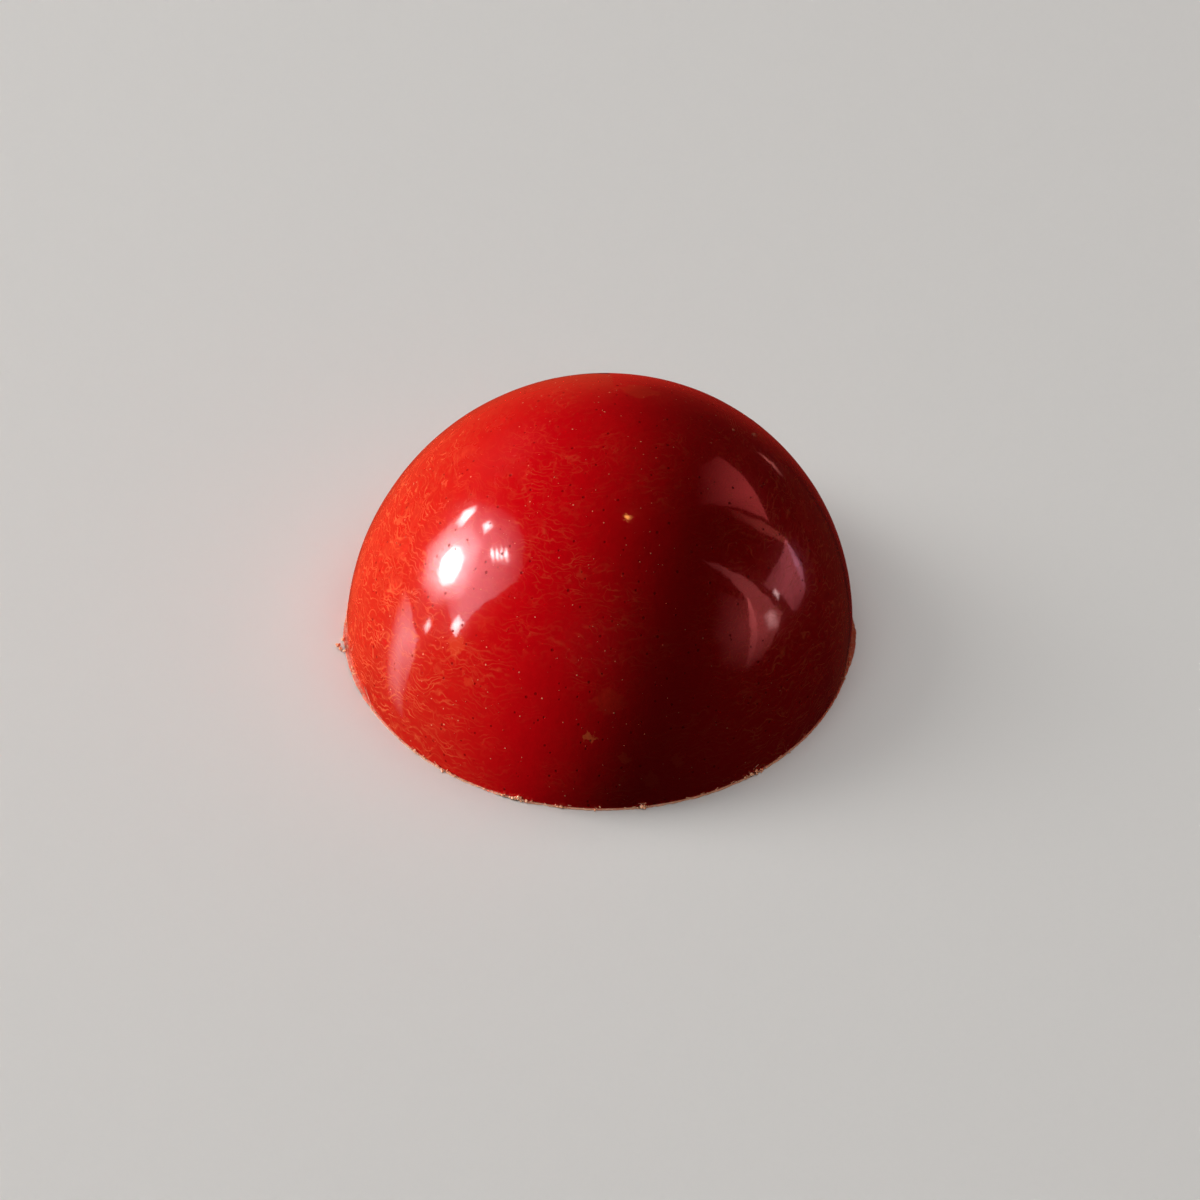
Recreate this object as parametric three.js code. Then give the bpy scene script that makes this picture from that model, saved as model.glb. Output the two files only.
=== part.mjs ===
// A moulded chocolate praline: a half-sphere shell coated in red cocoa butter, closed underneath
// by a thin foot of pale chocolate whose ragged lip stands out round the rim.
// Millimetres, +Z up. The origin is the middle of the flat underside.

import * as THREE from "three";

// Driving dimensions
const domeRadius = 15; // the mould's cavity is 30 mm across
const domeHeight = 15.1; // crown above the underside
const crownLean = 0.6; // how far the crown sits towards +X of the base's middle
const footThickness = 0.3; // the chocolate that seals the shell, seen as a line round the rim
const footStep = 0.06; // the least that the lip stands out past the shell
const lipRipple = 0.03; // unevenness of the lip where nothing else happens
const footEdge = 0.08; // rounding of the lip's edges
const rimRounding = 0.12; // rounding where the coated shell meets the foot

// Facets
const sectors = 96;
const domeRings = 26;
const rimArcSteps = 3;

// Places where the lip was left wider: its middle and half width in degrees from +X, and its reach.
const lipFlares = [
  { at: 196, spread: 12, reach: 0.26 },
  { at: 183, spread: 4, reach: 0.2 },
  { at: 357, spread: 8, reach: 0.28 },
  { at: 251, spread: 5, reach: 0.06 },
  { at: 98, spread: 16, reach: 0.1 },
];

const coating = new THREE.MeshStandardMaterial({
  color: new THREE.Color().setRGB(0.47, 0.008, 0.007),
  roughness: 0.16,
  metalness: 0,
});
const paleChocolate = new THREE.MeshStandardMaterial({
  color: new THREE.Color().setRGB(0.56, 0.3, 0.21),
  roughness: 0.42,
  metalness: 0,
});

// How far the lip stands out past the shell at an angle round the foot.
function lipReach(angle) {
  const ripple = Math.sin(7 * angle + 0.6) * Math.sin(3 * angle) + 0.6 * Math.sin(17 * angle);
  const flares = lipFlares.map(({ at, spread, reach }) => {
    const away = angle - THREE.MathUtils.degToRad(at);
    const turned = Math.atan2(Math.sin(away), Math.cos(away));
    return reach * Math.exp(-((turned / THREE.MathUtils.degToRad(spread)) ** 2));
  });
  return footStep + (lipRipple / 2) * (1 + ripple / 1.6) + Math.max(...flares);
}

// The shell's outline from the axis out over its underside, round its rim and up to the crown.
function domeProfile() {
  const rimHeight = footThickness + rimRounding;
  const rimAngle = Math.asin(rimHeight / domeHeight);
  const wall = domeRadius * Math.cos(rimAngle);
  const profile = [new THREE.Vector2(0, footThickness)];
  for (let step = 0; step < rimArcSteps; step++) {
    const turn = (Math.PI / 2) * (step / rimArcSteps);
    const inset = rimRounding * (1 - Math.sin(turn));
    profile.push(new THREE.Vector2(wall - inset, rimHeight - rimRounding * Math.cos(turn)));
  }
  for (let ring = 0; ring < domeRings; ring++) {
    const angle = THREE.MathUtils.lerp(rimAngle, Math.PI / 2, ring / domeRings);
    profile.push(new THREE.Vector2(domeRadius * Math.cos(angle), domeHeight * Math.sin(angle)));
  }
  profile.push(new THREE.Vector2(0, domeHeight));
  return profile;
}

// Moves each ring of the shell sideways in proportion to its height above the foot.
function leanCrown(geometry) {
  const place = geometry.getAttribute("position");
  for (let i = 0; i < place.count; i++) {
    const share = (place.getZ(i) - footThickness) / (domeHeight - footThickness);
    place.setX(i, place.getX(i) + crownLean * share);
  }
}

function makeDome() {
  const geometry = new THREE.LatheGeometry(domeProfile(), sectors);
  geometry.rotateX(Math.PI / 2);
  leanCrown(geometry);
  const mesh = new THREE.Mesh(geometry, coating);
  mesh.name = "dome";
  return mesh;
}

// The foot's outline at its widest, drawn in so that the rounded edge ends on the lip.
function footOutline() {
  const corners = [];
  for (let i = 0; i < sectors; i++) {
    const angle = (2 * Math.PI * i) / sectors;
    const radius = domeRadius + lipReach(angle) - footEdge;
    corners.push(new THREE.Vector2(radius * Math.cos(angle), radius * Math.sin(angle)));
  }
  return new THREE.Shape(corners);
}

function makeFoot() {
  const geometry = new THREE.ExtrudeGeometry(footOutline(), {
    depth: footThickness - 2 * footEdge,
    bevelThickness: footEdge,
    bevelSize: footEdge,
    bevelSegments: 2,
  });
  geometry.translate(0, 0, footEdge);
  const mesh = new THREE.Mesh(geometry, paleChocolate);
  mesh.name = "foot";
  return mesh;
}

const praline = new THREE.Group();
praline.add(makeDome(), makeFoot());

export default praline;
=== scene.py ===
import math
import random

import bpy
from mathutils import Matrix, Vector


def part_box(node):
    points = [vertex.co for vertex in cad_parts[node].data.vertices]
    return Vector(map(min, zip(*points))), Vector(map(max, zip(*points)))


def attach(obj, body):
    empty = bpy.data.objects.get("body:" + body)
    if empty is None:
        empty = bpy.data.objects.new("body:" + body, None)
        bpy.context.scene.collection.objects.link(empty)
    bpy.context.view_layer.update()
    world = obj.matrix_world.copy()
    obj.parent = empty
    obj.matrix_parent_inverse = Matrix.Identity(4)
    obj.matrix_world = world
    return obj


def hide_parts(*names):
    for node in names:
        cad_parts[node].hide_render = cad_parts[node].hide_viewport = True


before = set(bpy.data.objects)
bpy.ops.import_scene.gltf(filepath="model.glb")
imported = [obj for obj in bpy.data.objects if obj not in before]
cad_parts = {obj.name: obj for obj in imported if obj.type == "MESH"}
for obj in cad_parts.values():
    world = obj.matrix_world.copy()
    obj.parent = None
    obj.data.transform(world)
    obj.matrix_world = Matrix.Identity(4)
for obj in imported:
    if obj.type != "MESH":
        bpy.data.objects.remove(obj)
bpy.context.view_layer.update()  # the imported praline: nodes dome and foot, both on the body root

mm = 0.001  # the pieces below are given in millimetres, Blender works in metres
sameLevel = 1e-7  # metres; points closer than this count as level
domeLow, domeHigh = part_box("dome")


def deselectAll():
    if bpy.context.mode != "OBJECT":
        bpy.ops.object.mode_set(mode="OBJECT")
    bpy.ops.object.select_all(action="DESELECT")


def makeActive(piece):
    deselectAll()
    piece.select_set(True)
    bpy.context.view_layer.objects.active = piece


# Opens a piece in edit mode with only the parts picked by a test selected
def editWith(piece, kind, picked):
    makeActive(piece)
    mesh = piece.data
    for part in (*mesh.vertices, *mesh.edges, *mesh.polygons):
        part.select = False
    for part in getattr(mesh, kind):
        part.select = picked(part)
    bpy.context.tool_settings.mesh_select_mode = (kind == "vertices", kind == "edges", kind == "polygons")
    bpy.ops.object.mode_set(mode="EDIT")


def endEdit():
    bpy.ops.object.mode_set(mode="OBJECT")


def applyModifier(piece, kind, **settings):
    makeActive(piece)
    modifier = piece.modifiers.new(kind.title(), kind)
    for name, value in settings.items():
        setattr(modifier, name, value)
    bpy.ops.object.modifier_apply(modifier=modifier.name)


def applyPlace(piece):
    makeActive(piece)
    bpy.ops.object.transform_apply(location=True, rotation=True, scale=True)


def weightGroup(piece, name, weightAt):
    group = piece.vertex_groups.new(name=name)
    for vertex in piece.data.vertices:
        weight = weightAt(vertex)
        if weight > 0:
            group.add([vertex.index], min(weight, 1), "REPLACE")


def cloudTexture(name, size, depth=1):
    texture = bpy.data.textures.new(name, "CLOUDS")
    texture.noise_scale = size * mm
    texture.noise_depth = depth
    return texture


def direction(azimuth, elevation):
    a, e = math.radians(azimuth), math.radians(elevation)
    return Vector((math.cos(e) * math.cos(a), math.cos(e) * math.sin(a), math.sin(e)))


viewShape = {
    "elevation": 44.18,  # degrees above the plate
    "roll": 1.32,  # degrees
    "distance": 300,  # mm from the aim
    "aimRight": 0.02,  # mm that the aim sits beside the base's middle
    "aimUp": 1.57,  # mm that it sits above it, along the picture's upright
    "lens": 151.65,
    "sensor": 36,
    "nearest": 10,  # mm from the camera where the view begins
}


def makeCamera(shape):
    turn = Matrix.Rotation(math.radians(90 - shape["elevation"]), 3, "X")
    camera = bpy.data.objects.new("camera", bpy.data.cameras.new("camera"))
    bpy.context.scene.collection.objects.link(camera)
    aim = turn @ Vector((shape["aimRight"], shape["aimUp"], 0))
    camera.location = (aim + turn @ Vector((0, 0, shape["distance"]))) * mm
    camera.rotation_euler = (turn @ Matrix.Rotation(math.radians(shape["roll"]), 3, "Z")).to_euler()
    camera.data.sensor_width = shape["sensor"]
    camera.data.lens = shape["lens"]
    camera.data.clip_start = shape["nearest"] * mm
    bpy.context.scene.camera = camera


makeCamera(viewShape)
print("camera placed")


domeShape = {
    "radius": (domeHigh.y - domeLow.y) / 2 / mm,
    "height": domeHigh.z / mm,
    "crownLean": 0.6,  # towards +X at the crown
    "coatEnd": 0.07,  # the coating stops this far above the plate
    "cuts": 41,
    "rimRound": 0.06,
    "rimTuck": 0.25,  # how far the turned edge draws in, as a share of its rounding
    "undersideRings": (0.99, 0.9),  # each ring's size as a share of the one outside it
    "waveFade": 0.6,  # mm above the coating's end over which the waves set in
    # size and depth of the unevenness that bends reflections
    "waves": {"slowWave": (7.0, 0.05), "fineWave": (1.6, 0.01), "orangePeel": (0.5, 0.0025)},
}


def makeCoatedDome(shape):
    radius = shape["radius"]
    deselectAll()
    bpy.ops.mesh.primitive_cube_add(size=2 * radius * mm)
    dome = bpy.context.object
    dome.name = "coatedDome"
    bpy.ops.object.mode_set(mode="EDIT")
    bpy.ops.mesh.select_all(action="SELECT")
    bpy.ops.mesh.subdivide(number_cuts=shape["cuts"])
    bpy.ops.transform.tosphere(value=1)
    endEdit()
    reached = max(vertex.co.z for vertex in dome.data.vertices) / mm
    bpy.ops.object.mode_set(mode="EDIT")
    bpy.ops.mesh.select_all(action="SELECT")
    grow = radius / reached
    bpy.ops.transform.resize(value=(grow, grow, grow * shape["height"] / radius), center_override=(0, 0, 0))
    wallEnd = (shape["coatEnd"] + shape["rimRound"]) * mm
    bpy.ops.mesh.bisect(plane_co=(0, 0, wallEnd), plane_no=(0, 0, 1), clear_inner=True)
    endEdit()
    closeUnderside(dome, shape, wallEnd)
    applyModifier(dome, "SUBSURF", levels=2, render_levels=2)
    leanCrown(dome, shape)
    weightGroup(dome, "wall", lambda vertex: (vertex.co.z / mm - shape["coatEnd"]) / shape["waveFade"])
    for name, (size, depth) in shape["waves"].items():
        texture = cloudTexture(name, size)
        applyModifier(dome, "DISPLACE", texture=texture, strength=depth * mm, vertex_group="wall")
    bpy.ops.object.shade_smooth()
    return dome


# Turns the cut edge in under the dome and fills it
def closeUnderside(dome, shape, wallEnd):
    editWith(dome, "vertices", lambda vertex: vertex.co.z < wallEnd + sameLevel)
    turned = 1 - shape["rimTuck"] * shape["rimRound"] / shape["radius"]
    bpy.ops.mesh.extrude_edges_move(TRANSFORM_OT_translate={"value": (0, 0, -shape["rimRound"] * mm)})
    bpy.ops.transform.resize(value=(turned, turned, 1), center_override=(0, 0, 0))
    for ring in shape["undersideRings"]:
        bpy.ops.mesh.extrude_edges_move()
        bpy.ops.transform.resize(value=(ring, ring, 1), center_override=(0, 0, 0))
    bpy.ops.mesh.edge_face_add()
    bpy.ops.mesh.select_all(action="SELECT")
    bpy.ops.mesh.normals_make_consistent(inside=False)
    endEdit()


# Leans the dome with a cage whose upper half is moved sideways
def leanCrown(dome, shape):
    deselectAll()
    bpy.ops.object.add(type="LATTICE", location=(0, 0, shape["height"] * mm / 2))
    cage = bpy.context.object
    cage.scale = Vector((2 * shape["radius"], 2 * shape["radius"], shape["height"])) * mm
    cage.data.interpolation_type_w = "KEY_LINEAR"
    for point in cage.data.points:
        if point.co.z > 0:
            point.co_deform.x += shape["crownLean"] / (2 * shape["radius"])
    bpy.context.view_layer.update()
    applyModifier(dome, "LATTICE", object=cage)
    bpy.data.objects.remove(cage)


coatedDome = makeCoatedDome(domeShape)
print("coated dome modelled:", len(coatedDome.data.polygons), "faces")


footShape = {
    "segments": 720,
    "thickness": 0.07,
    "lip": 0.05,  # how far it stands out past the shell
    "edgeRound": 0.022,
    "insets": (0.05, 0.25, 2.0),  # rings that keep the faces small near the lip
    "flatBelow": 0.015,  # what is lower than this is set down on the plate
    # middle in degrees from +X, half width along the rim, reach outwards and rise of its outer edge
    "flares": [
        (196, 4.2, 0.12, 0.06),
        (184, 1.2, 0.07, 0.05),
        (357, 2.6, 0.19, 0.1),
        (251, 1.6, 0.05, 0.04),
        (98, 5.0, 0.08, 0.05),
    ],
    "flareGrip": 0.25,  # share of a flare's half width that is moved by the full amount
    "riseWidth": 0.6,  # half width of what rises, as a share of the flare's
    "riseFrom": (0.03, 0.05),  # only points above the first, and nearer the edge than the second, rise
    "chips": (0.45, 0.09),  # size and depth of the broken edge
    "crumble": (0.16, 0.045),
    "lipFade": (0.1, 0.15),  # how far inside the shell's outline the broken edge sets in, and over how much
}


def makePaleFoot(shape):
    radius = domeShape["radius"] + shape["lip"]
    deselectAll()
    bpy.ops.mesh.primitive_cylinder_add(
        vertices=shape["segments"], radius=radius * mm, depth=shape["thickness"] * mm,
        location=(0, 0, shape["thickness"] * mm / 2), end_fill_type="NGON",
    )
    foot = bpy.context.object
    foot.name = "paleFoot"
    applyPlace(foot)
    roundFootEdges(foot, shape)
    for flare in shape["flares"]:
        pushFlare(foot, shape, radius, *flare)
    applyModifier(foot, "SUBSURF", levels=1, render_levels=1)
    editWith(foot, "vertices", lambda vertex: True)
    bpy.ops.mesh.fill_holes(sides=0)
    endEdit()
    inside, fade = shape["lipFade"]
    weightGroup(foot, "lip", lambda vertex: (vertex.co.xy.length / mm - domeShape["radius"] + inside) / fade)
    for name, (size, depth) in (("chips", shape["chips"]), ("crumble", shape["crumble"])):
        texture = cloudTexture(name, size, depth=2)
        applyModifier(foot, "DISPLACE", texture=texture, strength=depth * mm, vertex_group="lip")
    editWith(foot, "vertices", lambda vertex: vertex.co.z < shape["flatBelow"] * mm)
    bpy.ops.transform.resize(value=(1, 1, 0), center_override=(0, 0, 0))
    endEdit()
    bpy.ops.object.shade_smooth()
    return foot


# Opens the middle of both flat faces, which is filled again later, and rounds the outer edges
def roundFootEdges(foot, shape):
    editWith(foot, "polygons", lambda face: abs(face.normal.z) > 0.9)
    for inset in shape["insets"]:
        bpy.ops.mesh.inset(thickness=inset * mm)
    bpy.ops.mesh.delete(type="ONLY_FACE")
    endEdit()
    outer = (domeShape["radius"] + shape["lip"]) * mm - 10 * sameLevel
    points = foot.data.vertices

    def onSharpEdge(edge):
        first, second = (points[i].co for i in edge.vertices)
        level = abs(first.z - second.z) < sameLevel
        return level and min(first.xy.length, second.xy.length) > outer

    editWith(foot, "edges", onSharpEdge)
    bpy.ops.mesh.bevel(offset=shape["edgeRound"] * mm, segments=2)
    endEdit()


# Draws the lip outwards and its outer edge upwards round one place on the rim
def pushFlare(foot, shape, radius, middle, halfWidth, reach, rise):
    outward = direction(middle, 0)
    spot = outward * radius * mm
    near = halfWidth * shape["flareGrip"] * mm
    editWith(foot, "vertices", lambda vertex: (vertex.co.xy - spot.xy).length < near)
    bpy.ops.transform.translate(
        value=outward * reach * mm, use_proportional_edit=True,
        proportional_edit_falloff="SMOOTH", proportional_size=halfWidth * mm,
    )
    endEdit()
    moved = spot + outward * reach * mm
    above, edge = shape["riseFrom"]
    editWith(
        foot, "vertices",
        lambda vertex: (vertex.co.xy - moved.xy).length < near
        and vertex.co.z > above * mm
        and vertex.co.xy.length > (radius + reach - edge) * mm,
    )
    bpy.ops.transform.translate(
        value=(0, 0, rise * mm), use_proportional_edit=True,
        proportional_edit_falloff="SMOOTH", proportional_size=halfWidth * shape["riseWidth"] * mm,
    )
    endEdit()


paleFoot = makePaleFoot(footShape)
print("pale foot modelled:", len(paleFoot.data.polygons), "faces")


# A place on the smooth dome, lifted off it by some millimetres
def onDome(azimuth, elevation, lift=0.0):
    around = direction(azimuth, elevation)
    lean = domeShape["crownLean"] * around.z
    out = domeShape["radius"] + lift
    return Vector((out * around.x + lean, out * around.y, (domeShape["height"] + lift) * around.z)) * mm


# Copies a model to every place, joins the copies and makes each one uneven
def scatter(model, name, places, shapeTexture, depth):
    copies = []
    for place, turn, size in places:
        one = model.copy()
        one.data = model.data.copy()
        bpy.context.scene.collection.objects.link(one)
        one.matrix_world = Matrix.LocRotScale(place, turn.to_quaternion(), size * mm)
        copies.append(one)
    bpy.data.objects.remove(model)
    bpy.context.view_layer.update()
    deselectAll()
    for one in copies:
        one.select_set(True)
    bpy.context.view_layer.objects.active = copies[0]
    bpy.ops.object.join()
    piece = bpy.context.object
    piece.name = name
    applyPlace(piece)
    applyModifier(piece, "DISPLACE", texture=shapeTexture, strength=depth * mm)
    return piece


def randomTurn(chance):
    spin = [chance.uniform(0, 2 * math.pi) for _ in range(3)]
    aboutX, aboutY, aboutZ = (Matrix.Rotation(angle, 3, axis) for angle, axis in zip(spin, "XYZ"))
    return aboutX @ aboutY @ aboutZ


crumbShape = {
    "seed": 7,
    "sizes": (0.03, 0.085),  # half of a crumb's width
    "stretch": (0.4, 1.4),  # of each of its three sides
    "alongRim": 150,  # small crumbs all round, smaller by the share below
    "rimShare": 0.7,
    "rimOut": (0.0, 0.1),  # outward from the shell
    "rimHeight": (0.05, 0.2),
    # middle in degrees from +X, half width in degrees, how many, largest half width
    "clusters": [
        (252.5, 3.2, 22, 0.1),
        (262.5, 1.2, 5, 0.09),
        (271.0, 1.0, 5, 0.08),
        (280.2, 1.4, 8, 0.1),
        (307.5, 2.6, 16, 0.09),
        (232.0, 9.0, 14, 0.08),
        (196.0, 8.0, 5, 0.08),
        (95.0, 9.0, 12, 0.1),
    ],
    "clusterOut": (0.0, 0.14),
    "clusterHeight": (0.04, 0.3),
    # azimuth, outward from the shell, height and half width: the crumbs that stand out at the far left
    "single": [
        (188.6, 0.52, 0.22, 0.17),
        (187.9, 0.6, 0.12, 0.1),
        (189.6, 0.42, 0.12, 0.12),
        (187.2, 0.2, 0.3, 0.12),
        (190.4, 0.22, 0.2, 0.1),
    ],
    "unevenness": (0.12, 0.09),
}


def makeRimCrumbs(shape):
    chance = random.Random(shape["seed"])
    deselectAll()
    bpy.ops.mesh.primitive_ico_sphere_add(subdivisions=2, radius=1)
    model = bpy.context.object
    smallest, largest = shape["sizes"]
    rim = [(chance.uniform(0, 360), chance.uniform(*shape["rimOut"]), chance.uniform(*shape["rimHeight"]),
            chance.uniform(smallest, largest) * shape["rimShare"]) for _ in range(shape["alongRim"])]
    for middle, spread, count, widest in shape["clusters"]:
        for _ in range(count):
            rim.append((chance.gauss(middle, spread / 2), chance.uniform(*shape["clusterOut"]),
                        chance.uniform(*shape["clusterHeight"]), chance.uniform(smallest, widest)))
    rim += shape["single"]
    least, most = shape["stretch"]
    places = []
    for azimuth, out, height, size in rim:
        rise = max(height, most * size)  # so that none dips into the plate
        spot = (direction(azimuth, 0) * (domeShape["radius"] + out) + Vector((0, 0, rise))) * mm
        stretch = Vector([chance.uniform(least, most) for _ in range(3)]) * size
        places.append((spot, randomTurn(chance), stretch))
    size, depth = shape["unevenness"]
    return scatter(model, "rimCrumbs", places, cloudTexture("crumbShape", size), depth)


rimCrumbs = makeRimCrumbs(crumbShape)
print("rim crumbs modelled:", len(rimCrumbs.data.polygons), "faces")


shavingShape = {
    "seed": 21,
    # the model, which is 2 long: radius of its curl and the degrees that it turns through
    "curl": (0.5, 200),
    "curlSteps": 7,
    "thickness": 0.25,
    "lift": (0.03, 0.02),  # mm off the wall, square to it and level
    "alongRim": 46,
    "rimHeight": (0.08, 0.22),
    "rimTilt": 25,
    "rimLength": (0.06, 0.2),
    "rimWidth": (0.03, 0.06),
    # azimuth, height on the wall, half length, half width, tilt in degrees from level
    "single": [
        (304.9, 0.85, 0.2, 0.07, 70),
        (305.6, 0.62, 0.16, 0.06, -20),
        (308.0, 0.5, 0.22, 0.06, 25),
        (206.6, 0.42, 0.62, 0.04, -32),
        (253.0, 0.35, 0.3, 0.08, 10),
        (280.4, 0.3, 0.24, 0.07, -5),
        (225.5, 0.2, 0.2, 0.08, 15),
    ],
    "unevenness": (0.2, 0.05),
}


# A thin curled strip, spun from one edge of a plane
def makeShavingModel(shape):
    reach, turn = shape["curl"]
    deselectAll()
    bpy.ops.mesh.primitive_plane_add(size=2, location=(0, 0, 0))
    model = bpy.context.object
    editWith(model, "vertices", lambda vertex: vertex.co.y > 0)
    bpy.ops.mesh.delete(type="VERT")
    bpy.ops.mesh.select_all(action="SELECT")
    bpy.ops.mesh.spin(
        steps=shape["curlSteps"], angle=math.radians(turn), center=(0, -1, reach), axis=(1, 0, 0))
    bpy.ops.mesh.select_all(action="SELECT")
    bpy.ops.mesh.remove_doubles(threshold=0.0001)
    bpy.ops.mesh.normals_make_consistent(inside=False)
    endEdit()
    applyModifier(model, "SOLIDIFY", thickness=shape["thickness"], offset=0)
    return model


def makeRimShavings(shape):
    chance = random.Random(shape["seed"])
    model = makeShavingModel(shape)
    places = []
    for azimuth, height, halfLength, halfWidth, tilt in shape["single"]:
        places.append(leanOnWall(shape, azimuth, height, tilt, halfLength, halfWidth))
    for _ in range(shape["alongRim"]):
        azimuth, height = chance.uniform(0, 360), chance.uniform(*shape["rimHeight"])
        tilt = chance.gauss(0, shape["rimTilt"])
        halfLength, halfWidth = chance.uniform(*shape["rimLength"]), chance.uniform(*shape["rimWidth"])
        places.append(leanOnWall(shape, azimuth, height, tilt, halfLength, halfWidth))
    size, depth = shape["unevenness"]
    return scatter(model, "rimShavings", places, cloudTexture("shavingShape", size), depth)


# The place, turn and size of a strip that lies against the wall of the dome, clear of the plate
def leanOnWall(shape, azimuth, height, tilt, halfLength, halfWidth):
    height = max(height, halfLength * abs(math.sin(math.radians(tilt))) + 2 * halfWidth)
    elevation = math.degrees(math.asin(min(1, height / domeShape["height"])))
    squareLift, levelLift = shape["lift"]
    turn = Matrix.Rotation(math.radians(azimuth - 90), 3, "Z") @ Matrix.Rotation(math.radians(tilt), 3, "Y")
    spot = onDome(azimuth, elevation, lift=squareLift) + direction(azimuth, 0) * levelLift * mm
    return spot, turn, Vector((halfLength, halfWidth, halfWidth))


rimShavings = makeRimShavings(shavingShape)
print("rim shavings modelled:", len(rimShavings.data.polygons), "faces")


dustShape = {
    "seed": 5,
    "count": 640,
    "sizes": (0.017, 0.045),  # half of a grain's width
    "fewLarge": 2.5,  # the higher, the fewer large ones
    "stretch": (0.6, 1.25),  # of each of its three sides
    "lowest": 0.03,  # share of the dome's height
    "sunk": 0.3,  # how far its middle sits in the coating, as a share of its half width
    # azimuth, elevation on the dome and half width: grains that stand out
    "single": [
        (25.9, 58.5, 0.15),
        (26.7, 51.8, 0.16),
        (28.0, 50.6, 0.06),
        (208.0, 33.0, 0.08),
        (172.0, 40.0, 0.07),
    ],
    "unevenness": (0.06, 0.012),
}


def makeDustGrains(shape):
    chance = random.Random(shape["seed"])
    deselectAll()
    bpy.ops.mesh.primitive_ico_sphere_add(subdivisions=1, radius=1)
    model = bpy.context.object
    grains = list(shape["single"])
    smallest, largest = shape["sizes"]
    for _ in range(shape["count"]):
        elevation = math.degrees(math.asin(chance.uniform(shape["lowest"], 1)))
        size = smallest + (largest - smallest) * chance.random() ** shape["fewLarge"]
        grains.append((chance.uniform(0, 360), elevation, size))
    places = []
    for azimuth, elevation, size in grains:
        stretch = Vector([chance.uniform(*shape["stretch"]) for _ in range(3)]) * size
        _, spot, outward, _ = coatedDome.closest_point_on_mesh(onDome(azimuth, elevation))
        places.append((spot - outward * shape["sunk"] * size * mm, randomTurn(chance), stretch))
    size, depth = shape["unevenness"]
    return scatter(model, "dustGrains", places, cloudTexture("grainShape", size), depth)


dustGrains = makeDustGrains(dustShape)
print("dust grains modelled:", len(dustGrains.data.polygons), "faces")


# Sets values on a node's inputs and links sockets to them
def feed(tree, node, inputs):
    for name, value in inputs.items():
        if isinstance(value, bpy.types.NodeSocket):
            tree.links.new(value, node.inputs[name])
        else:
            node.inputs[name].default_value = value


def addNode(tree, kind, inputs=None, **settings):
    made = tree.nodes.new("ShaderNode" + kind)
    for name, value in settings.items():
        setattr(made, name, value)
    feed(tree, made, inputs or {})
    return made


def calc(tree, operation, first, second=0.0, clamp=False):
    made = addNode(tree, "Math", {0: first, 1: second}, operation=operation, use_clamp=clamp)
    return made.outputs[0]


def times(tree, first, second):
    return calc(tree, "MULTIPLY", first, second)


# Mixes two colours: inputs 6 and 7 of the Mix node, output 2
def blend(tree, share, low, high):
    made = addNode(tree, "Mix", {0: share, 6: low, 7: high}, data_type="RGBA")
    return made.outputs[2]


def ramp(tree, value, low, high, toLow=0.0, toHigh=1.0):
    made = addNode(
        tree, "MapRange", {0: value, 1: low, 2: high, 3: toLow, 4: toHigh}, interpolation_type="SMOOTHSTEP"
    )
    return made.outputs[0]


# Shifts a vector to and fro by the colours of a noise
def shifted(tree, vector, noise, amount):
    middle = addNode(tree, "VectorMath", {0: noise.outputs["Color"], 1: (0.5,) * 3}, operation="SUBTRACT")
    bend = addNode(tree, "VectorMath", {0: middle.outputs[0], "Scale": amount}, operation="SCALE")
    return addNode(tree, "VectorMath", {0: vector, 1: bend.outputs[0]}, operation="ADD").outputs[0]


def startGroup(name, inputs, outputs):
    tree = bpy.data.node_groups.new(name, "ShaderNodeTree")
    for label, kind, value in inputs:
        socket = tree.interface.new_socket(label, in_out="INPUT", socket_type="NodeSocket" + kind)
        if value is not None:
            socket.default_value = value
    for label, kind in outputs:
        tree.interface.new_socket(label, in_out="OUTPUT", socket_type="NodeSocket" + kind)
    return tree, tree.nodes.new("NodeGroupInput").outputs, tree.nodes.new("NodeGroupOutput").inputs


# Soft uneven patches, 0 to 1
def makePatchGroup():
    tree, given, out = startGroup(
        "uneven patches",
        [("Vector", "Vector", None), ("Size", "Float", 4.0), ("Least", "Float", 0.4), ("Most", "Float", 0.6),
         ("Fineness", "Float", 0.5)],
        [("Mask", "Float")],
    )
    scale = calc(tree, "DIVIDE", 1.0, given["Size"])
    noise = addNode(
        tree, "TexNoise",
        {"Vector": given["Vector"], "Scale": scale, "Detail": 4.0, "Roughness": given["Fineness"]},
    )
    tree.links.new(ramp(tree, noise.outputs[0], given["Least"], given["Most"]), out["Mask"])
    return tree


fibreShape = {
    "driftScale": 0.9,  # of the slow wander
    "ownShift": 5.3,  # how far apart the noise of two hairs is read, so that each begins and ends by itself
    "endScale": 0.7,  # how often a hair begins and ends
    "ends": (0.44, 0.54),  # the noise at which it is gone and is whole
    "gap": (0.3, 0.5),  # shares of the spacing at which the gap starts and is full
}


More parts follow.
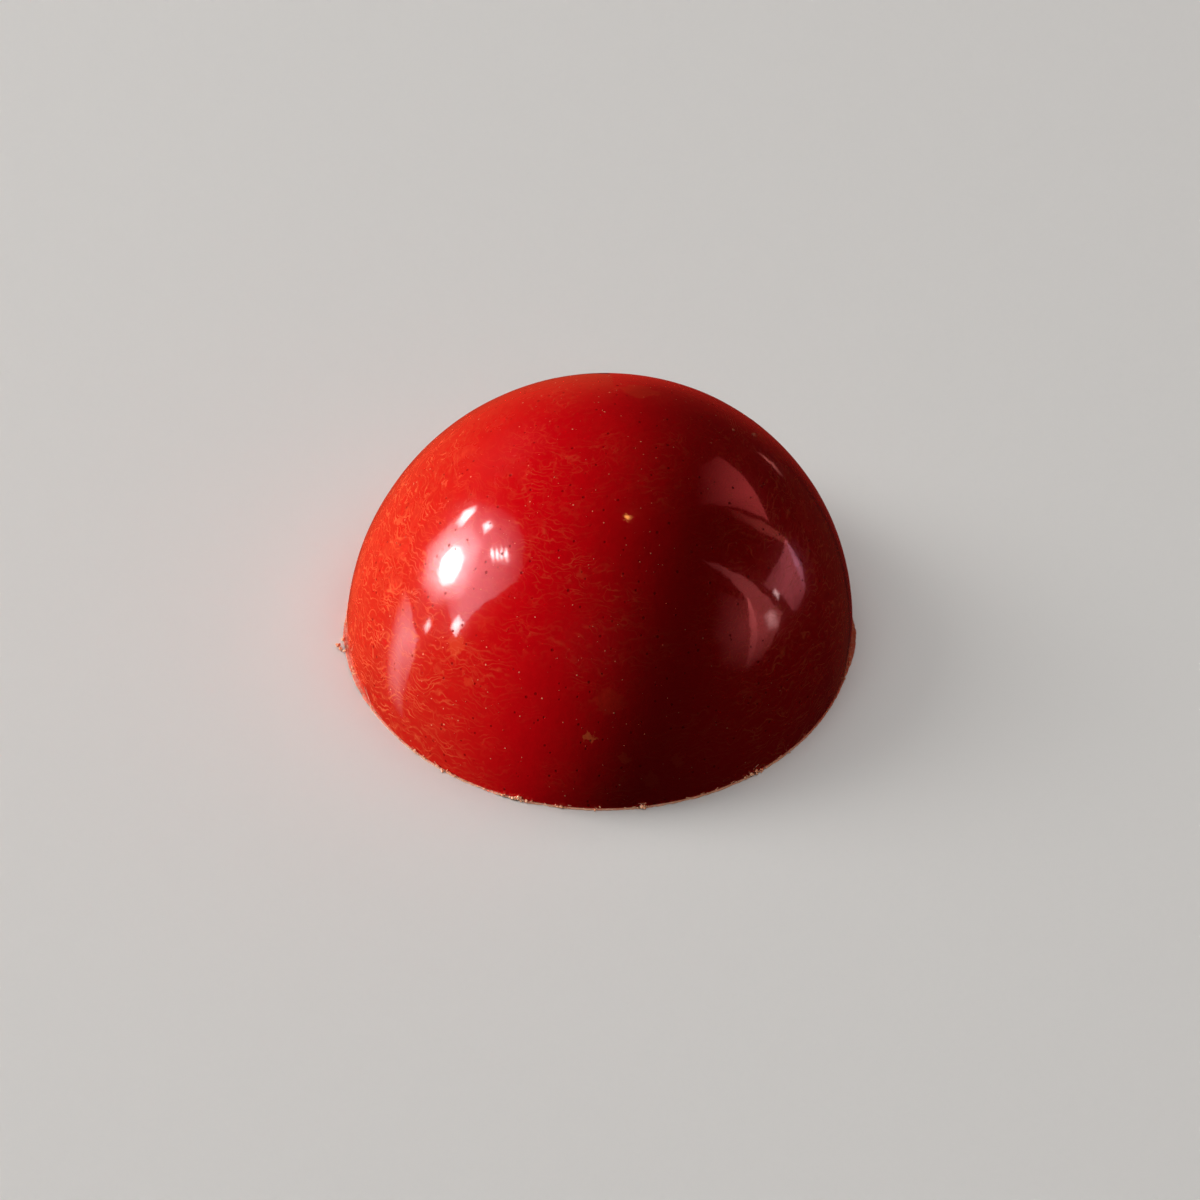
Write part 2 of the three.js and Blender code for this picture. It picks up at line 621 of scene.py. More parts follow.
# Fine wandering hairs, one above another along the vector's third axis, and the gaps between them
def makeFibreGroup(shape):
    tree, given, out = startGroup(
        "fine fibres",
        [("Vector", "Vector", None), ("Swirl size", "Float", 3.0), ("Spacing", "Float", 0.4),
         ("Swirl", "Float", 2.5), ("Wander", "Float", 1.0), ("Thinness", "Float", 0.15)],
        [("Mask", "Float"), ("Gap", "Float")],
    )
    drift = addNode(tree, "TexNoise", {
        "Vector": given["Vector"], "Scale": shape["driftScale"], "Detail": 2.0})
    bent = shifted(tree, given["Vector"], drift, given["Wander"])
    swirlScale = calc(tree, "DIVIDE", 1.0, given["Swirl size"])
    swirls = addNode(tree, "TexNoise", {"Vector": bent, "Scale": swirlScale, "Detail": 2.0})
    rise = addNode(tree, "SeparateXYZ", {0: bent}).outputs[2]
    lanes = calc(tree, "DIVIDE", rise, given["Spacing"])
    lanes = calc(tree, "ADD", lanes, times(tree, swirls.outputs[0], given["Swirl"]))
    away = calc(tree, "ABSOLUTE", calc(tree, "SUBTRACT", calc(tree, "FRACT", lanes), 0.5))
    hair = calc(tree, "SUBTRACT", 1.0, ramp(tree, away, 0.0, given["Thinness"]))
    apart = times(tree, calc(tree, "FLOOR", lanes), shape["ownShift"])
    own = addNode(tree, "CombineXYZ", {0: apart, 1: 0.0, 2: apart}).outputs[0]
    place = addNode(tree, "VectorMath", {0: given["Vector"], 1: own}, operation="ADD").outputs[0]
    ends = addNode(tree, "TexNoise", {"Vector": place, "Scale": shape["endScale"], "Detail": 1.0}).outputs[0]
    tree.links.new(times(tree, hair, ramp(tree, ends, *shape["ends"])), out["Mask"])
    tree.links.new(ramp(tree, away, *shape["gap"]), out["Gap"])
    return tree


# Small round spots, each of its own size, in a share of the cells
def makeSpotGroup():
    tree, given, out = startGroup(
        "scattered spots",
        [("Vector", "Vector", None), ("Spacing", "Float", 1.0), ("Radius", "Float", 0.1),
         ("Share", "Float", 0.5), ("Softness", "Float", 0.03)],
        [("Mask", "Float")],
    )
    scale = calc(tree, "DIVIDE", 1.0, given["Spacing"])
    cells = addNode(tree, "TexVoronoi", {"Vector": given["Vector"], "Scale": scale})
    distance = times(tree, cells.outputs["Distance"], given["Spacing"])
    chance = addNode(tree, "SeparateColor", {0: cells.outputs["Color"]})
    radius = times(tree, given["Radius"], calc(tree, "ADD", 0.5, chance.outputs[1]))
    reach = calc(tree, "ADD", radius, given["Softness"])
    spot = calc(tree, "SUBTRACT", 1.0, ramp(tree, distance, radius, reach))
    present = calc(tree, "LESS_THAN", chance.outputs[0], given["Share"])
    tree.links.new(times(tree, spot, present), out["Mask"])
    return tree


patchGroup = makePatchGroup()
fibreGroup = makeFibreGroup(fibreShape)
spotGroup = makeSpotGroup()


def placeFibres(tree, where, swirlSize, spacing, swirl, wander, thinness):
    return addNode(tree, "Group", {
        "Vector": where, "Swirl size": swirlSize, "Spacing": spacing, "Swirl": swirl, "Wander": wander,
        "Thinness": thinness}, node_tree=fibreGroup).outputs


def placePatches(tree, where, size, least, most, fineness):
    return addNode(tree, "Group", {
        "Vector": where, "Size": size, "Least": least, "Most": most, "Fineness": fineness},
        node_tree=patchGroup).outputs["Mask"]


def placeSpots(tree, where, spacing, radius, share, softness):
    return addNode(tree, "Group", {
        "Vector": where, "Spacing": spacing, "Radius": radius, "Share": share, "Softness": softness},
        node_tree=spotGroup).outputs["Mask"]


def startMaterial(name):
    material = bpy.data.materials.new(name)
    material.use_nodes = True
    tree = material.node_tree
    tree.nodes.clear()
    shader = addNode(tree, "BsdfPrincipled")
    output = addNode(tree, "OutputMaterial", {"Surface": shader.outputs[0]})
    output.is_active_output = True
    where = addNode(tree, "TexCoord").outputs["Object"]
    millimetres = addNode(tree, "Mapping", {"Vector": where, "Scale": (1 / mm,) * 3}).outputs[0]
    return material, tree, shader, millimetres


coatingFinish = {
    "deepRed": (0.62, 0.0008, 0.0044, 1),
    # painted light: the orange tint of the side that faces the key light, in place of its glow at the edge
    "litSideOrange": (0.53, 0.017, 0.008, 1),
    "orange": (0.74, 0.115, 0.04, 1),
    "darkRed": (0.2, 0.001, 0.0015, 1),
    "palePink": (0.95, 0.36, 0.2, 1),
    "thinCoat": (0.9, 0.14, 0.04, 1),
    "roughness": (0.24, 0.4),
    "roughAt": 1.4,  # how much of hairs and clouds together makes it fully rough
    "ior": 1.45,
    "specular": 0.2,  # gloss of the red under its clear skin
    "coatIor": 1.5,
    "coatRoughness": 0.06,
    "sheen": 0.04,
    "sheenRoughness": 0.4,
    "sheenTint": (1.0, 0.1, 0.05, 1),
    "bumpDepth": 0.012,  # mm
    "litSideReach": (-3.5, -13.5),  # painted light: where the orange tint of the side facing the key light starts and is full, mm along X
    "farSide": (3.0, 12.0),  # where the hairs of the other side start and are full
    "strokeTilt": 14,  # degrees that the brush strokes lean from level
    # the hairs: swirl size and spacing in mm, swirl, wander and thinness
    "strokes": (3.0, 0.34, 10.0, 1.0, 0.24),
    "crossed": (2.2, 0.42, 9.0, 1.5, 0.19),
    "curls": (0.7, 0.5, 2.6, 0.9, 0.16),
    # the patches: size in mm, the noise at which they start and are full, and their fineness
    "broken": (1.1, 0.42, 0.62, 0.6),
    "brushed": (7.0, 0.4, 0.64, 0.55),
    "cloudy": (2.6, 0.46, 0.74, 0.66),
    "mottle": (0.5, 0.3, 0.7, 0.6),
    # the spots: spacing and radius in mm, share of the places that hold one, and softness in mm
    "pits": (0.6, 0.045, 0.7, 0.05),
    "specks": (0.64, 0.026, 0.65, 0.03),
    # how strongly each shows in the colour; the clouds' is for the painted lit side, whose orange is painted
    # light, and for the rest
    "colourShares": {"brushed": 0.34, "crossed": 0.8, "curls": 0.5, "broken": 0.6, "gaps": 0.7,
                     "mottle": 0.08, "clouds": (0.1, 0.015), "hairs": 0.85, "pits": 0.75, "specks": 0.85},
    "heightShares": {"hairs": 0.4, "mottle": 0.3},
    "coatLoss": 0.35,  # how much of the clear skin the hairs take off
    # places where the coating is thin: azimuth, elevation, half width in mm, share
    "thinPlaces": [(-92.3, 19.4, 0.56, 0.75), (-84.0, 14.5, 0.5, 0.2), (-72.0, 12.0, 0.6, 0.18),
                   (-88.5, 28.0, 1.2, 0.1), (-131.0, 31.0, 0.9, 0.2), (-124.0, 25.0, 0.6, 0.14),
                   (28.5, 49.0, 0.3, 0.4), (-40.0, 27.0, 0.45, 0.2), (140.0, 30.0, 0.7, 0.3),
                   (60.0, 25.0, 0.6, 0.3), (75.0, 68.0, 1.6, 0.12), (-78.0, 8.0, 0.7, 0.16)],
    "thinEdge": (0.8, 1.1),  # shares of the half width at which a thin place starts to fade and is gone
    "thinBreak": (2.2, 1.1),  # scale and reach of the noise that breaks its outline
}


# Unrolls the dome about a tilted axis: the third axis runs up the wall in millimetres
def wallCoordinates(tree, millimetres, axis, tilt):
    turned = addNode(
        tree, "VectorRotate", {"Vector": millimetres, "Axis": axis, "Angle": math.radians(tilt)},
        rotation_type="AXIS_ANGLE",
    ).outputs[0]
    unit = addNode(tree, "VectorMath", {0: turned}, operation="NORMALIZE").outputs[0]
    parts = addNode(tree, "SeparateXYZ", {0: unit})
    rise = times(tree, calc(tree, "ARCSINE", parts.outputs[2]), domeShape["radius"])
    sides = addNode(tree, "SeparateXYZ", {0: turned})
    return addNode(tree, "CombineXYZ", {0: sides.outputs[0], 1: sides.outputs[1], 2: rise}).outputs[0]


# Patches with a broken outline round given places on the dome
def thinPlaces(tree, millimetres, finish):
    scale, reach = finish["thinBreak"]
    drift = addNode(tree, "TexNoise", {"Vector": millimetres, "Scale": scale, "Detail": 3.0})
    bent = shifted(tree, millimetres, drift, reach)
    fade, gone = finish["thinEdge"]
    total = 0.0
    for azimuth, elevation, halfWidth, share in finish["thinPlaces"]:
        middle = onDome(azimuth, elevation) / mm
        gap = addNode(tree, "VectorMath", {0: bent, 1: middle}, operation="SUBTRACT")
        sides = addNode(tree, "VectorMath", {0: gap.outputs[0]}, operation="ABSOLUTE")
        away = addNode(tree, "VectorMath", {0: sides.outputs[0], 1: (1, 1, 1)}, operation="DOT_PRODUCT")
        mask = ramp(tree, away.outputs["Value"], halfWidth * fade, halfWidth * gone, share, 0.0)
        total = calc(tree, "MAXIMUM", mask, total)
    return total


def makeRedCoating(finish):
    material, tree, shader, millimetres = startMaterial("red cocoa butter")
    shares = finish["colourShares"]
    tilt = finish["strokeTilt"]
    strokes = placeFibres(tree, wallCoordinates(tree, millimetres, (1, 0.3, 0), tilt), *finish["strokes"])
    crossed = placeFibres(tree, wallCoordinates(tree, millimetres, (-0.4, -1, 0), tilt), *finish["crossed"])
    curls = placeFibres(tree, millimetres, *finish["curls"])
    broken, brushed, cloudy, mottle = (
        placePatches(tree, millimetres, *finish[name]) for name in ("broken", "brushed", "cloudy", "mottle"))
    pits, specks = (placeSpots(tree, millimetres, *finish[name]) for name in ("pits", "specks"))

    # the hairs are full at both sides and faint in brushed patches between them
    along = addNode(tree, "SeparateXYZ", {0: millimetres}).outputs[0]
    # painted light: the -X side, which faces the key light, is tinted orange by position
    litSideTint = ramp(tree, along, *finish["litSideReach"])
    ends = calc(tree, "MAXIMUM", litSideTint, ramp(tree, along, *finish["farSide"]))
    region = calc(tree, "MAXIMUM", times(tree, brushed, shares["brushed"]), ends)
    hairs = calc(tree, "MAXIMUM", strokes["Mask"], times(tree, crossed["Mask"], shares["crossed"]))
    hairs = calc(tree, "MAXIMUM", hairs, times(tree, curls["Mask"], shares["curls"]))
    whole = calc(tree, "ADD", times(tree, broken, shares["broken"]), 1 - shares["broken"])
    hairs = times(tree, times(tree, hairs, whole), region)
    gaps = times(tree, strokes["Gap"], times(tree, broken, region))

    colour = blend(tree, litSideTint, finish["deepRed"], finish["litSideOrange"])
    colour = blend(tree, times(tree, gaps, shares["gaps"]), colour, finish["deepRed"])
    colour = blend(tree, times(tree, mottle, shares["mottle"]), colour, finish["darkRed"])
    # painted light: the orange clouds are stronger on the side that faces the key light
    onLitSide, elsewhere = shares["clouds"]
    cloudShare = calc(tree, "ADD", times(tree, litSideTint, onLitSide), elsewhere)
    colour = blend(tree, times(tree, cloudy, cloudShare), colour, finish["orange"])
    colour = blend(tree, times(tree, hairs, shares["hairs"]), colour, finish["orange"])
    colour = blend(tree, thinPlaces(tree, millimetres, finish), colour, finish["thinCoat"])
    colour = blend(tree, times(tree, pits, shares["pits"]), colour, finish["darkRed"])
    colour = blend(tree, times(tree, specks, shares["specks"]), colour, finish["palePink"])

    heights = finish["heightShares"]
    height = calc(tree, "ADD", times(tree, hairs, heights["hairs"]), specks)
    height = calc(tree, "SUBTRACT", height, pits)
    height = calc(tree, "ADD", height, times(tree, mottle, heights["mottle"]))
    bump = addNode(tree, "Bump", {"Strength": 1.0, "Distance": finish["bumpDepth"] * mm, "Height": height})
    roughness = ramp(tree, calc(tree, "ADD", hairs, cloudy), 0.0, finish["roughAt"], *finish["roughness"])
    coat = calc(tree, "SUBTRACT", 1.0, calc(tree, "MAXIMUM", pits, specks), clamp=True)
    coat = calc(tree, "SUBTRACT", coat, times(tree, hairs, finish["coatLoss"]), clamp=True)
    feed(tree, shader, {
        "Base Color": colour, "Roughness": roughness, "Coat Weight": coat, "Normal": bump.outputs[0],
        "IOR": finish["ior"], "Specular IOR Level": finish["specular"], "Coat IOR": finish["coatIor"],
        "Coat Roughness": finish["coatRoughness"], "Sheen Weight": finish["sheen"],
        "Sheen Roughness": finish["sheenRoughness"], "Sheen Tint": finish["sheenTint"],
    })
    return material


chocolateFinish = {
    "pale": (0.72, 0.36, 0.26, 1),
    "tan": (0.62, 0.3, 0.19, 1),
    "stained": (0.7, 0.13, 0.1, 1),
    "fresh": (0.86, 0.58, 0.45, 1),
    "roughness": (0.38, 0.6),
    "ior": 1.45,
    "specular": 0.3,
    "glowWeight": 0.35,  # light that passes through the thin lip
    "glowReach": (0.5, 0.22, 0.15),
    "marks": (9.0, 0.4, 3.0, 0.3, 0.3),  # where it was scraped level, given as the coating's hairs are
    "markTurn": (math.pi / 2, 0, 0.4),
    # patches and spots, given as the coating's are
    "blotches": (1.6, 0.35, 0.65, 0.6),
    "stains": (0.7, 0.5, 0.66, 0.6),
    "broken": (0.16, 0.45, 0.7, 0.7),
    "pores": (0.7, 0.05, 0.4, 0.04),
    "stainedEnds": (10.0, 14.0),  # where the red smears at both ends start and are full, mm along X
    "colourShares": {"stains": 0.6, "ends": 0.7, "broken": 0.5, "pores": 0.6},
    "heightShares": {"marks": 0.4, "broken": 0.4},
    "bumpStrength": 0.8,
    "bumpDepth": 0.02,  # mm
}

crumbFinish = {
    "pale": (0.85, 0.5, 0.34, 1),
    "tan": (0.75, 0.34, 0.2, 1),
    "roughness": (0.4, 0.6),
    "ior": 1.45,
    "specular": 0.4,
    "glowWeight": 0.3,
    "glowReach": (0.3, 0.15, 0.1),
    "grains": (0.3, 0.35, 0.65, 0.6),
    "pores": (0.12, 0.02, 0.5, 0.02),
    "bumpStrength": 0.6,
    "bumpDepth": 0.004,
}

dustFinish = {
    **crumbFinish,
    "pale": (0.9, 0.32, 0.2, 1),
    "tan": (0.8, 0.12, 0.06, 1),
    "roughness": (0.3, 0.5),
    "specular": 0.2,
    "glowReach": (0.2, 0.08, 0.05),
    "bumpDepth": 0.002,
}


# Gives chocolate its colour, roughness and unevenness, and the light that glows through it
def finishChocolate(tree, shader, finish, colour, roughness, height):
    bump = addNode(tree, "Bump", {
        "Strength": finish["bumpStrength"], "Distance": finish["bumpDepth"] * mm, "Height": height})
    feed(tree, shader, {
        "Base Color": colour, "Roughness": roughness, "Normal": bump.outputs[0],
        "IOR": finish["ior"], "Specular IOR Level": finish["specular"],
        "Subsurface Weight": finish["glowWeight"], "Subsurface Radius": finish["glowReach"],
        "Subsurface Scale": mm,
    })


def makePaleChocolate(finish):
    material, tree, shader, millimetres = startMaterial("pale chocolate")
    shares, heights = finish["colourShares"], finish["heightShares"]
    lanes = addNode(tree, "Mapping", {"Vector": millimetres, "Rotation": finish["markTurn"]}).outputs[0]
    marks = placeFibres(tree, lanes, *finish["marks"])["Mask"]
    blotches, stains, broken = (
        placePatches(tree, millimetres, *finish[name]) for name in ("blotches", "stains", "broken"))
    pores = placeSpots(tree, millimetres, *finish["pores"])
    along = calc(tree, "ABSOLUTE", addNode(tree, "SeparateXYZ", {0: millimetres}).outputs[0])
    ends = ramp(tree, along, *finish["stainedEnds"], 0.0, shares["ends"])
    smeared = calc(tree, "MAXIMUM", times(tree, stains, shares["stains"]), ends)
    colour = blend(tree, blotches, finish["pale"], finish["tan"])
    colour = blend(tree, smeared, colour, finish["stained"])
    colour = blend(tree, times(tree, broken, shares["broken"]), colour, finish["fresh"])
    colour = blend(tree, times(tree, pores, shares["pores"]), colour, finish["tan"])
    height = calc(tree, "ADD", times(tree, marks, heights["marks"]),
                  times(tree, broken, heights["broken"]))
    height = calc(tree, "SUBTRACT", height, pores)
    smooth, rough = finish["roughness"]
    roughness = ramp(tree, marks, 0.0, 1.0, rough, smooth)
    finishChocolate(tree, shader, finish, colour, roughness, height)
    return material


def makeCrumbChocolate(name, finish):
    material, tree, shader, millimetres = startMaterial(name)
    grains = placePatches(tree, millimetres, *finish["grains"])
    pores = placeSpots(tree, millimetres, *finish["pores"])
    colour = blend(tree, grains, finish["pale"], finish["tan"])
    roughness = ramp(tree, grains, 0.0, 1.0, *finish["roughness"])
    finishChocolate(tree, shader, finish, colour, roughness, calc(tree, "SUBTRACT", 1.0, pores))
    return material


redCoating = makeRedCoating(coatingFinish)
paleChocolate = makePaleChocolate(chocolateFinish)
crumbChocolate = makeCrumbChocolate("broken chocolate", crumbFinish)
dustChocolate = makeCrumbChocolate("chocolate dust", dustFinish)
print("materials made")

for piece, material in ((coatedDome, redCoating), (paleFoot, paleChocolate), (rimCrumbs, crumbChocolate),
                        (rimShavings, crumbChocolate), (dustGrains, dustChocolate)):
    piece.data.materials.clear()
    piece.data.materials.append(material)

for piece, slotName, stoodFor in (
        (coatedDome, "red_coating", ["dome"]), (paleFoot, "pale_chocolate", ["foot"]),
        (rimCrumbs, "pale_chocolate", []), (rimShavings, "pale_chocolate", []),
        (dustGrains, "pale_chocolate", [])):
    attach(piece, "root")
    if stoodFor:
        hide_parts(*stoodFor)
print("pieces ride on the frame")


studio = {
    "floorSize": 4.0,  # sizes and distances in the studio are in metres
    "floorColour": (0.8, 0.79, 0.77, 1),
    "floorRoughness": 0.8,
    "dimColour": (0.006, 0.005, 0.005, 1),  # what the praline sees where no card is
    "lampAim": 6,  # mm above the plate, and so is the cards'
    "cardAim": 8,
    # name: azimuth, elevation, distance, width, height, irradiance, colour, what it lights
    "lamps": {
        "keySoft": (178, 15, 0.5, 0.22, 0.2, 5.5, (1.0, 0.97, 0.94), "praline"),
        "backFill": (125, 25, 0.5, 0.2, 0.2, 0.72, (1.0, 0.85, 0.75), "praline"),
        "frontFill": (261, 35, 0.5, 0.2, 0.2, 0.15, (1.0, 0.9, 0.85), "praline"),
        "rightFill": (10, 12, 0.5, 0.25, 0.2, 0.27, (1.0, 0.7, 0.6), "praline"),
        "lipFill": (232, 32, 0.5, 0.15, 0.15, 1.2, (1.0, 0.95, 0.92), "lip"),
        "lipRight": (330, 35, 0.5, 0.15, 0.15, 0.6, (1.0, 0.7, 0.5), "lip"),
        "floorTop": (0, 90, 0.8, 1.2, 1.2, 2.7, (1.0, 0.99, 0.98), "floor"),
        "floorKey": (170, 38, 0.6, 0.3, 0.3, 1.2, (1.0, 0.98, 0.96), "floor"),
    },
    # the way to the middle by azimuth and elevation, the same for the corners with how bright each is,
    # colour, strength and distance
    "cards": {
        "windowLeft": ((172, 33), [
            (149, 30, 0.1), (154, 42, 0.05), (164, 51, 0.1), (184, 55, 0.1), (201, 50, 0.08),
            (205, 45, 0.2), (202, 35, 0.6), (200, 26, 0.85), (198, 17, 0.9), (197, 12, 0.7),
            (189, 14, 0.3), (181, 16, 0.3), (171, 12, 0.1), (160, 10, 0.0), (155, 20, 0.1)
        ], (0.95, 0.88, 1.0), 3.3, 0.36),
        "edgeLeft": ((125, -24), [
            (92, -54, 0.25), (92, -40, 0.35), (90, -28, 0.55), (90, -5, 0.55), (90, 18, 0.1),
            (115, 25, 0.1), (145, 30, 0.1), (167, 12, 0.1), (168, -15, 0.25), (152, -36, 0.5),
            (128, -54, 0.7)
        ], (1.0, 0.085, 0.03), 0.8, 0.37),
        "edgeBack": ((80, -22), [
            (90, -50, 0.4), (75, -50, 0.15), (60, -40, 0.1), (60, -10, 0.1), (70, 12, 0), (90, 18, 0.3),
            (90, -5, 1.7), (90, -30, 1.6)
        ], (1.0, 0.03, 0.015), 0.3, 0.37),
        "edgeRight": ((45, -32), [
            (64, -52, 0.8), (56, -35, 1), (60, -10, 1), (45, 0, 0.6), (25, -8, 0.4), (20, -20, 0.4),
            (35, -42, 0.6)
        ], (1.0, 0.1, 0.035), 0.055, 0.37),
        "coreGlow": ((172, 21), [
            (153, 21, 0), (158, 32, 0), (173, 37, 0), (188, 30, 0), (190, 20, 0), (182, 8, 0),
            (170, 6, 0), (158, 10, 0)
        ], (0.98, 0.95, 1.0), 11, 0.35),
        "keyCore": ((173, 22), [
            (165.5, 24, 0.05), (168.5, 28, 0.05), (174, 29, 0.05), (179, 26, 0.05), (181, 20.5, 0.05),
            (178, 16, 0.05), (171.5, 15.5, 0.05), (166.5, 18.5, 0.05)
        ], (1.0, 0.99, 0.98), 70, 0.34),
        "lampUpper": ((154.5, 28), [
            (151, 31, 0.1), (154.5, 31.5, 0.15), (159.5, 26, 0.15), (156, 23, 0.1), (152, 25, 0.05)
        ], (1.0, 0.96, 0.98), 38, 0.34),
        "lampInner": ((163.5, 38), [
            (160, 39, 0), (165, 42, 0), (168, 37, 0), (162, 35, 0)
        ], (1.0, 0.96, 0.98), 30, 0.34),
        "lampHighA": ((181.5, 40), [
            (175.5, 40.4, 0), (181, 41, 0.4), (187.5, 39.2, 0), (181.5, 38.8, 0.4)
        ], (1.0, 0.97, 0.98), 36, 0.34),
        "lampHighB": ((183, 42), [
            (176.5, 42.8, 0), (183, 43, 0.4), (189.5, 41.2, 0), (183, 41, 0.4)
        ], (1.0, 0.97, 0.98), 36, 0.34),
        "lampHighC": ((184.5, 44), [
            (177.5, 45, 0), (184.5, 45, 0.4), (191.5, 43.2, 0), (184.5, 43, 0.4)
        ], (1.0, 0.97, 0.98), 36, 0.34),
        "lampHighD": ((186, 46), [
            (179, 47, 0), (186, 47, 0.4), (193, 45.2, 0), (186, 45, 0.4)
        ], (1.0, 0.97, 0.98), 36, 0.34),
        "lampLow": ((196, 14), [
            (193, 17, 0.3), (198.5, 17, 0.3), (199, 11, 0.3), (194, 11, 0.3)
        ], (1.0, 0.97, 0.98), 24, 0.34),
        "lampSide": ((184, 3), [
            (182, 6, 0), (186, 5, 0), (185.5, 0, 0), (182.5, 1, 0)
        ], (1.0, 0.9, 0.9), 22, 0.34),
        "plateGlow": ((176, -8), [
            (165, -1, 0.0), (174, -1, 0.6), (183, -4, 1), (184, -12, 0.5), (183, -22, 0.1),
            (180, -36, 0), (172, -32, 0), (168, -16, 0), (165, -8, 0)
        ], (1.0, 0.95, 1.0), 3.0, 0.36),
        "rightHigh": ((37, 24), [
            (50, 40, 0), (54, 25, 0.3), (44, 20, 0.9), (38, 18.5, 1), (29, 16.5, 1), (30, 26, 0.7),
            (30, 35, 0.4), (27, 52, 0)
        ], (1.0, 0.12, 0.12), 2.2, 0.36),
        "rightArc": ((25, 20), [
            (29, 40, 0), (27.5, 27, 0.6), (27.5, 18, 1), (26.5, 6, 1), (24, 9, 1), (22.5, 23, 0.6),
            (23.5, 34, 0.1)
        ], (1.0, 0.16, 0.13), 1.4, 0.36),
        "rightLow": ((-9, 22), [
            (-11, 50, 0.1), (-6, 37, 0.8), (-3, 27, 1), (-2, 15, 1), (1, 3, 0.7), (-11, -1, 0.4),
            (-26, 0, 0), (-18, 4, 0.4), (-13, 10, 1), (-10, 23, 1), (-10, 36, 0.8)
        ], (1.0, 0.2, 0.2), 2.2, 0.36),
        "rightHaze": ((-20, 14), [
            (-21, 36, 0), (-10, 20, 0.6), (-8, 4, 0.5), (-25, -2, 0.1), (-36, 8, 0), (-36, 24, 0)
        ], (1.0, 0.2, 0.2), 1.1, 0.37),
        "rightWedge": ((13, 5), [
            (26, 9, 1), (23, 0, 0.8), (19, -5, 0.6), (9, -4, 0.3), (6, -1, 0.6), (6, 6, 0.8),
            (1, 17, 0.5), (13, 13, 0.5), (18, 11, 0.8)
        ], (1.0, 0.22, 0.26), 2.3, 0.36),
        "wedgeEdge": ((21, 3), [
            (26, 9, 0.6), (23.5, -1, 0.3), (17, -5, 0.1), (19, 3, 0.1)
        ], (0.9, 0.5, 0.8), 1.6, 0.35),
        "rightSpark": ((4, 9), [
            (2.5, 11, 0), (5.5, 11, 0), (5.5, 7, 0), (2.5, 7, 0)
        ], (1.0, 0.6, 0.6), 12, 0.34),
        "rightBlob": ((-5, 6.5), [
            (-9, 11, 0), (-3, 10, 0), (0, 4, 0), (-4, 1, 0), (-9, 4, 0)
        ], (1.0, 0.5, 0.5), 6, 0.34),
        "rimArc": ((56, -3), [
            (59, 1, 0), (57.5, -2.5, 0.8), (52.5, -3.5, 0), (53, -6, 0), (57, -5, 0.6)
        ], (1.0, 0.25, 0.22), 1.8, 0.36),
        "warmDot": ((23, 82), [
            (10, 82.4, 0), (36, 83.4, 0), (38, 81.3, 0), (21, 80.7, 0)
        ], (1.0, 0.42, 0.1), 40, 0.34),
    },
}


# A glow that only adds light, brighter or dimmer from corner to corner
def cardMaterial(name, colour, strength):
    material = bpy.data.materials.new(name)
    material.use_nodes = True
    tree = material.node_tree
    tree.nodes.clear()
    share = addNode(tree, "Attribute", attribute_name="glow").outputs["Fac"]
    brightness = times(tree, share, strength)
    glow = addNode(tree, "Emission", {"Color": (*colour, 1), "Strength": brightness})
    clear = addNode(tree, "BsdfTransparent")
    both = addNode(tree, "AddShader", {0: glow.outputs[0], 1: clear.outputs[0]})
    addNode(tree, "OutputMaterial", {"Surface": both.outputs[0]})
    material.cycles.emission_sampling = "NONE"
    return material


# A flat glowing card that is seen only in the gloss
def makeCard(name, aim, middle, corners, colour, strength, distance):
    points = [aim + direction(*middle) * distance]
    points += [aim + direction(azimuth, elevation) * distance for azimuth, elevation, share in corners]
    last = len(corners)
    faces = [(0, i, i % last + 1) for i in range(1, last + 1)]
    mesh = bpy.data.meshes.new(name)
    mesh.from_pydata(points, [], faces)
    glow = mesh.attributes.new("glow", "FLOAT", "POINT")
    glow.data.foreach_set("value", [1.0] + [share for azimuth, elevation, share in corners])
    card = bpy.data.objects.new(name, mesh)
    bpy.context.scene.collection.objects.link(card)
    mesh.materials.append(cardMaterial(name, colour, strength))
    card.visible_camera = False
    card.visible_diffuse = False
    card.visible_shadow = False


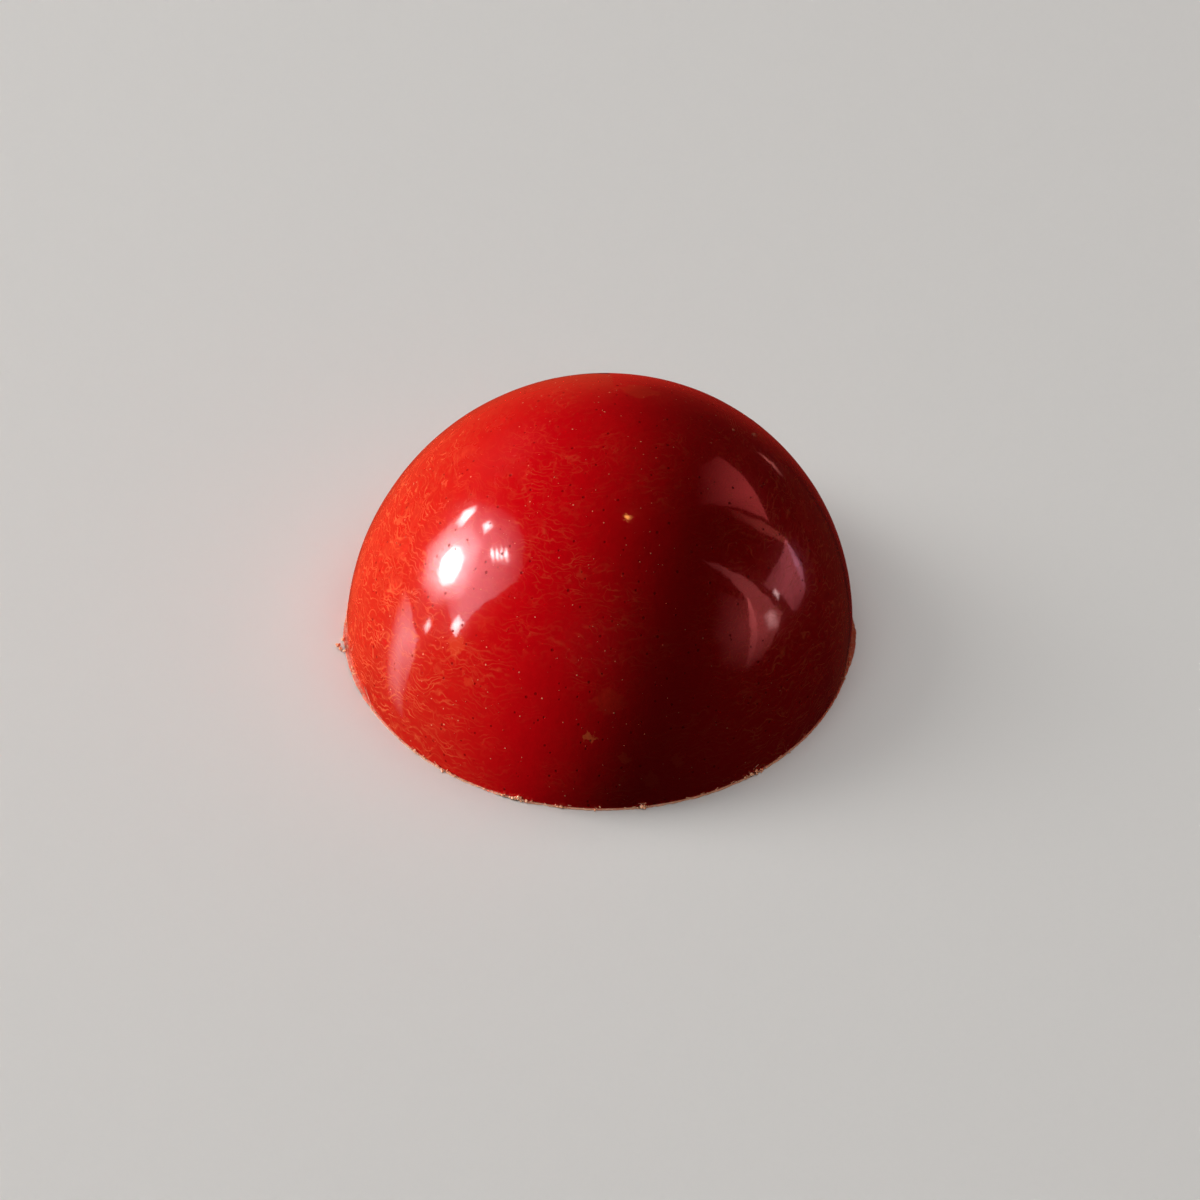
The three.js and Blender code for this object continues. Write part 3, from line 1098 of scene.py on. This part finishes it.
def makeLamp(name, aim, azimuth, elevation, distance, width, height, irradiance, colour, receivers):
    light = bpy.data.lights.new(name, "AREA")
    light.shape = "RECTANGLE"
    light.size = width
    light.size_y = height
    light.color = colour
    light.energy = irradiance * math.pi * distance * distance
    lamp = bpy.data.objects.new(name, light)
    bpy.context.scene.collection.objects.link(lamp)
    lamp.location = direction(azimuth, elevation) * distance + aim
    lamp.rotation_euler = direction(azimuth, elevation).to_track_quat("Z", "Y").to_euler()
    lamp.visible_camera = False
    lamp.visible_glossy = False
    lamp.light_linking.receiver_collection = receivers


def makeStudio(shape):
    deselectAll()
    bpy.ops.mesh.primitive_plane_add(size=shape["floorSize"])
    floor = bpy.context.object
    floor.name = "floor"
    floor.visible_diffuse = False
    floor.visible_glossy = False
    material = bpy.data.materials.new("pale floor")
    material.use_nodes = True
    shader = material.node_tree.nodes["Principled BSDF"]
    feed(material.node_tree, shader, {
        "Base Color": shape["floorColour"], "Roughness": shape["floorRoughness"]})
    floor.data.materials.append(material)
    lip = [paleFoot, rimCrumbs, rimShavings]
    lit = {}
    for name, members in (("praline", [coatedDome, dustGrains, *lip]), ("lip", lip), ("floor", [floor])):
        lit[name] = bpy.data.collections.new(name + " lit")
        for member in members:
            lit[name].objects.link(member)
    for name, (*settings, target) in shape["lamps"].items():
        makeLamp(name, Vector((0, 0, shape["lampAim"] * mm)), *settings, lit[target])
    for name, settings in shape["cards"].items():
        makeCard(name, Vector((0, 0, shape["cardAim"] * mm)), *settings)


# The camera sees a pale backdrop, and everything else a dim one
def makeWorld(shape):
    world = bpy.data.worlds.new("studio")
    world.use_nodes = True
    tree = world.node_tree
    tree.nodes.clear()
    seen = addNode(tree, "LightPath").outputs["Is Camera Ray"]
    dim = addNode(tree, "Background", {"Color": shape["dimColour"], "Strength": 1.0})
    pale = addNode(tree, "Background", {"Color": shape["floorColour"], "Strength": 1.0})
    mixed = addNode(tree, "MixShader", {0: seen, 1: dim.outputs[0], 2: pale.outputs[0]})
    addNode(tree, "OutputWorld", {"Surface": mixed.outputs[0]})
    bpy.context.scene.world = world


makeStudio(studio)
makeWorld(studio)
bpy.context.scene.view_settings.view_transform = "Standard"
print("studio lit")
